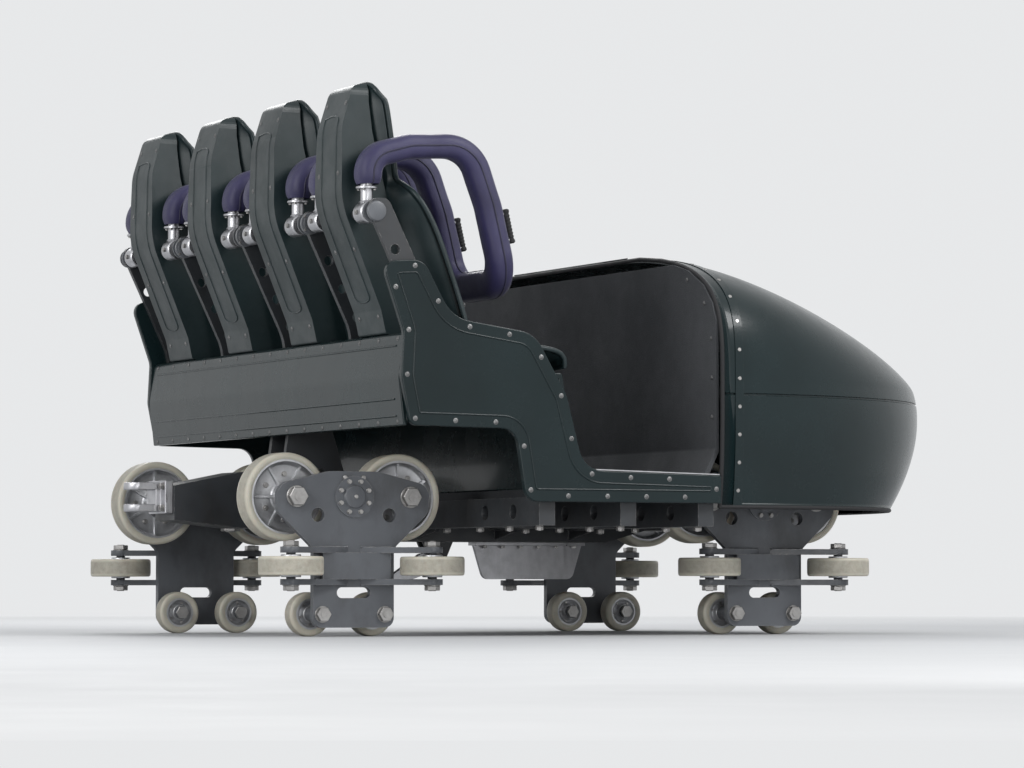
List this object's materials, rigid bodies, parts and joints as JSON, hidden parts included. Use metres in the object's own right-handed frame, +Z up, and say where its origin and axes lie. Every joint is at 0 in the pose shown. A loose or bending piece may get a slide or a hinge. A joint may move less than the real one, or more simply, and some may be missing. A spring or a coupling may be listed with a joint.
{
  "type": "roller coaster lead car",
  "caption": "Leading car of a steel looping coaster train: a row of bucket seats with over-the-shoulder restraints, an open footwell, a wedge nose and bogies that grip a tubular rail.",
  "frame": {"origin": "on the floor under the middle of the car's bounding box, level with the bottoms of the up-stop wheels", "axes": "+X forward to the nose, +Y to the car's left, +Z up"},
  "size_m": [3, 2.32, 1.8505],
  "materials": {
    "chassis_paint": "satin",
    "bogie_paint": "satin",
    "body_shell": "gloss",
    "floor_plate": "satin",
    "pad_skin": "matte",
    "restraint_foam": "matte",
    "bright_steel": "satin",
    "wheel_tread": "satin"
  },
  "bodies": {
    "car": {"chassis": "chassis_paint", "axles": "chassis_paint", "floor_pan": "floor_plate", "nose_hood": "body_shell", "seat_frame": "chassis_paint", "seat_plinth": "body_shell", "seat_shells": "body_shell", "seat_pads": "pad_skin", "headrest_pads": "pad_skin", "back_covers": "body_shell", "rear_fairing": "body_shell", "side_fairings": "body_shell", "tow_hitch": "bright_steel", "brake_fin": "bright_steel"},
    "rollback_dog": {"rollback_dog": "bright_steel"},
    "knuckle_fl": {"knuckle_fl": "chassis_paint"},
    "bogie_fl": {"bogie_fl": "bogie_paint"},
    "road_wheel_fl_1": {"road_wheel_fl_1": "wheel_tread"},
    "guide_wheel_fl_1": {"guide_wheel_fl_1": "wheel_tread"},
    "stop_wheel_fl_1": {"stop_wheel_fl_1": "wheel_tread"},
    "road_wheel_fl_2": {"road_wheel_fl_2": "wheel_tread"},
    "guide_wheel_fl_2": {"guide_wheel_fl_2": "wheel_tread"},
    "stop_wheel_fl_2": {"stop_wheel_fl_2": "wheel_tread"},
    "knuckle_fr": {"knuckle_fr": "chassis_paint"},
    "bogie_fr": {"bogie_fr": "bogie_paint"},
    "road_wheel_fr_1": {"road_wheel_fr_1": "wheel_tread"},
    "guide_wheel_fr_1": {"guide_wheel_fr_1": "wheel_tread"},
    "stop_wheel_fr_1": {"stop_wheel_fr_1": "wheel_tread"},
    "road_wheel_fr_2": {"road_wheel_fr_2": "wheel_tread"},
    "guide_wheel_fr_2": {"guide_wheel_fr_2": "wheel_tread"},
    "stop_wheel_fr_2": {"stop_wheel_fr_2": "wheel_tread"},
    "knuckle_rl": {"knuckle_rl": "chassis_paint"},
    "bogie_rl": {"bogie_rl": "bogie_paint"},
    "road_wheel_rl_1": {"road_wheel_rl_1": "wheel_tread"},
    "guide_wheel_rl_1": {"guide_wheel_rl_1": "wheel_tread"},
    "stop_wheel_rl_1": {"stop_wheel_rl_1": "wheel_tread"},
    "road_wheel_rl_2": {"road_wheel_rl_2": "wheel_tread"},
    "guide_wheel_rl_2": {"guide_wheel_rl_2": "wheel_tread"},
    "stop_wheel_rl_2": {"stop_wheel_rl_2": "wheel_tread"},
    "knuckle_rr": {"knuckle_rr": "chassis_paint"},
    "bogie_rr": {"bogie_rr": "bogie_paint"},
    "road_wheel_rr_1": {"road_wheel_rr_1": "wheel_tread"},
    "guide_wheel_rr_1": {"guide_wheel_rr_1": "wheel_tread"},
    "stop_wheel_rr_1": {"stop_wheel_rr_1": "wheel_tread"},
    "road_wheel_rr_2": {"road_wheel_rr_2": "wheel_tread"},
    "guide_wheel_rr_2": {"guide_wheel_rr_2": "wheel_tread"},
    "stop_wheel_rr_2": {"stop_wheel_rr_2": "wheel_tread"},
    "restraint_1": {"restraint_1": "restraint_foam"},
    "restraint_2": {"restraint_2": "restraint_foam"},
    "restraint_3": {"restraint_3": "restraint_foam"},
    "restraint_4": {"restraint_4": "restraint_foam"}
  },
  "joints": [
    {"name": "rollback_dog_swing", "type": "hinge", "parent": "car", "child": "rollback_dog", "pos_m": [-0.31, 0, 0.268], "axis": [0, 1, 0], "range_deg": [0, 24]},
    {"name": "knuckle_fl_steer", "type": "hinge", "parent": "car", "child": "knuckle_fl", "pos_m": [0.64, 0.372, 0.472], "axis": [0, 0, 1], "range_deg": [-6, 6]},
    {"name": "bogie_fl_rock", "type": "hinge", "parent": "knuckle_fl", "child": "bogie_fl", "pos_m": [0.64, 0.6, 0.472], "axis": [0, 1, 0], "range_deg": [-8, 8]},
    {"name": "road_wheel_fl_1_spin", "type": "hinge", "parent": "bogie_fl", "child": "road_wheel_fl_1", "pos_m": [0.85, 0.6, 0.472], "axis": [0, 1, 0], "continuous": true},
    {"name": "guide_wheel_fl_1_spin", "type": "hinge", "parent": "bogie_fl", "child": "guide_wheel_fl_1", "pos_m": [0.9, 0.798, 0.238], "axis": [0, 0, 1], "continuous": true},
    {"name": "stop_wheel_fl_1_spin", "type": "hinge", "parent": "bogie_fl", "child": "stop_wheel_fl_1", "pos_m": [0.755, 0.6, 0.075], "axis": [0, 1, 0], "continuous": true},
    {"name": "road_wheel_fl_2_spin", "type": "hinge", "parent": "bogie_fl", "child": "road_wheel_fl_2", "pos_m": [0.43, 0.6, 0.472], "axis": [0, 1, 0], "continuous": true},
    {"name": "guide_wheel_fl_2_spin", "type": "hinge", "parent": "bogie_fl", "child": "guide_wheel_fl_2", "pos_m": [0.38, 0.798, 0.238], "axis": [0, 0, 1], "continuous": true},
    {"name": "stop_wheel_fl_2_spin", "type": "hinge", "parent": "bogie_fl", "child": "stop_wheel_fl_2", "pos_m": [0.525, 0.6, 0.075], "axis": [0, 1, 0], "continuous": true},
    {"name": "knuckle_fr_steer", "type": "hinge", "parent": "car", "child": "knuckle_fr", "pos_m": [0.64, -0.372, 0.472], "axis": [0, 0, 1], "range_deg": [-6, 6]},
    {"name": "bogie_fr_rock", "type": "hinge", "parent": "knuckle_fr", "child": "bogie_fr", "pos_m": [0.64, -0.6, 0.472], "axis": [0, 1, 0], "range_deg": [-8, 8]},
    {"name": "road_wheel_fr_1_spin", "type": "hinge", "parent": "bogie_fr", "child": "road_wheel_fr_1", "pos_m": [0.85, -0.6, 0.472], "axis": [0, 1, 0], "continuous": true},
    {"name": "guide_wheel_fr_1_spin", "type": "hinge", "parent": "bogie_fr", "child": "guide_wheel_fr_1", "pos_m": [0.9, -0.798, 0.238], "axis": [0, 0, 1], "continuous": true},
    {"name": "stop_wheel_fr_1_spin", "type": "hinge", "parent": "bogie_fr", "child": "stop_wheel_fr_1", "pos_m": [0.755, -0.6, 0.075], "axis": [0, 1, 0], "continuous": true},
    {"name": "road_wheel_fr_2_spin", "type": "hinge", "parent": "bogie_fr", "child": "road_wheel_fr_2", "pos_m": [0.43, -0.6, 0.472], "axis": [0, 1, 0], "continuous": true},
    {"name": "guide_wheel_fr_2_spin", "type": "hinge", "parent": "bogie_fr", "child": "guide_wheel_fr_2", "pos_m": [0.38, -0.798, 0.238], "axis": [0, 0, 1], "continuous": true},
    {"name": "stop_wheel_fr_2_spin", "type": "hinge", "parent": "bogie_fr", "child": "stop_wheel_fr_2", "pos_m": [0.525, -0.6, 0.075], "axis": [0, 1, 0], "continuous": true},
    {"name": "knuckle_rl_steer", "type": "hinge", "parent": "car", "child": "knuckle_rl", "pos_m": [-0.95, 0.372, 0.472], "axis": [0, 0, 1], "range_deg": [-6, 6]},
    {"name": "bogie_rl_rock", "type": "hinge", "parent": "knuckle_rl", "child": "bogie_rl", "pos_m": [-0.95, 0.6, 0.472], "axis": [0, 1, 0], "range_deg": [-8, 8]},
    {"name": "road_wheel_rl_1_spin", "type": "hinge", "parent": "bogie_rl", "child": "road_wheel_rl_1", "pos_m": [-0.74, 0.6, 0.472], "axis": [0, 1, 0], "continuous": true},
    {"name": "guide_wheel_rl_1_spin", "type": "hinge", "parent": "bogie_rl", "child": "guide_wheel_rl_1", "pos_m": [-0.69, 0.798, 0.238], "axis": [0, 0, 1], "continuous": true},
    {"name": "stop_wheel_rl_1_spin", "type": "hinge", "parent": "bogie_rl", "child": "stop_wheel_rl_1", "pos_m": [-0.835, 0.6, 0.075], "axis": [0, 1, 0], "continuous": true},
    {"name": "road_wheel_rl_2_spin", "type": "hinge", "parent": "bogie_rl", "child": "road_wheel_rl_2", "pos_m": [-1.16, 0.6, 0.472], "axis": [0, 1, 0], "continuous": true},
    {"name": "guide_wheel_rl_2_spin", "type": "hinge", "parent": "bogie_rl", "child": "guide_wheel_rl_2", "pos_m": [-1.21, 0.798, 0.238], "axis": [0, 0, 1], "continuous": true},
    {"name": "stop_wheel_rl_2_spin", "type": "hinge", "parent": "bogie_rl", "child": "stop_wheel_rl_2", "pos_m": [-1.065, 0.6, 0.075], "axis": [0, 1, 0], "continuous": true},
    {"name": "knuckle_rr_steer", "type": "hinge", "parent": "car", "child": "knuckle_rr", "pos_m": [-0.95, -0.372, 0.472], "axis": [0, 0, 1], "range_deg": [-6, 6]},
    {"name": "bogie_rr_rock", "type": "hinge", "parent": "knuckle_rr", "child": "bogie_rr", "pos_m": [-0.95, -0.6, 0.472], "axis": [0, 1, 0], "range_deg": [-8, 8]},
    {"name": "road_wheel_rr_1_spin", "type": "hinge", "parent": "bogie_rr", "child": "road_wheel_rr_1", "pos_m": [-0.74, -0.6, 0.472], "axis": [0, 1, 0], "continuous": true},
    {"name": "guide_wheel_rr_1_spin", "type": "hinge", "parent": "bogie_rr", "child": "guide_wheel_rr_1", "pos_m": [-0.69, -0.798, 0.238], "axis": [0, 0, 1], "continuous": true},
    {"name": "stop_wheel_rr_1_spin", "type": "hinge", "parent": "bogie_rr", "child": "stop_wheel_rr_1", "pos_m": [-0.835, -0.6, 0.075], "axis": [0, 1, 0], "continuous": true},
    {"name": "road_wheel_rr_2_spin", "type": "hinge", "parent": "bogie_rr", "child": "road_wheel_rr_2", "pos_m": [-1.16, -0.6, 0.472], "axis": [0, 1, 0], "continuous": true},
    {"name": "guide_wheel_rr_2_spin", "type": "hinge", "parent": "bogie_rr", "child": "guide_wheel_rr_2", "pos_m": [-1.21, -0.798, 0.238], "axis": [0, 0, 1], "continuous": true},
    {"name": "stop_wheel_rr_2_spin", "type": "hinge", "parent": "bogie_rr", "child": "stop_wheel_rr_2", "pos_m": [-1.065, -0.6, 0.075], "axis": [0, 1, 0], "continuous": true},
    {"name": "restraint_1_lift", "type": "hinge", "parent": "car", "child": "restraint_1", "pos_m": [-1.053, -0.87, 1.405], "axis": [0, -1, 0], "range_deg": [0, 100]},
    {"name": "restraint_2_lift", "type": "hinge", "parent": "car", "child": "restraint_2", "pos_m": [-1.053, -0.29, 1.405], "axis": [0, -1, 0], "range_deg": [0, 100]},
    {"name": "restraint_3_lift", "type": "hinge", "parent": "car", "child": "restraint_3", "pos_m": [-1.053, 0.29, 1.405], "axis": [0, -1, 0], "range_deg": [0, 100]},
    {"name": "restraint_4_lift", "type": "hinge", "parent": "car", "child": "restraint_4", "pos_m": [-1.053, 0.87, 1.405], "axis": [0, -1, 0], "range_deg": [0, 100]}
  ]
}
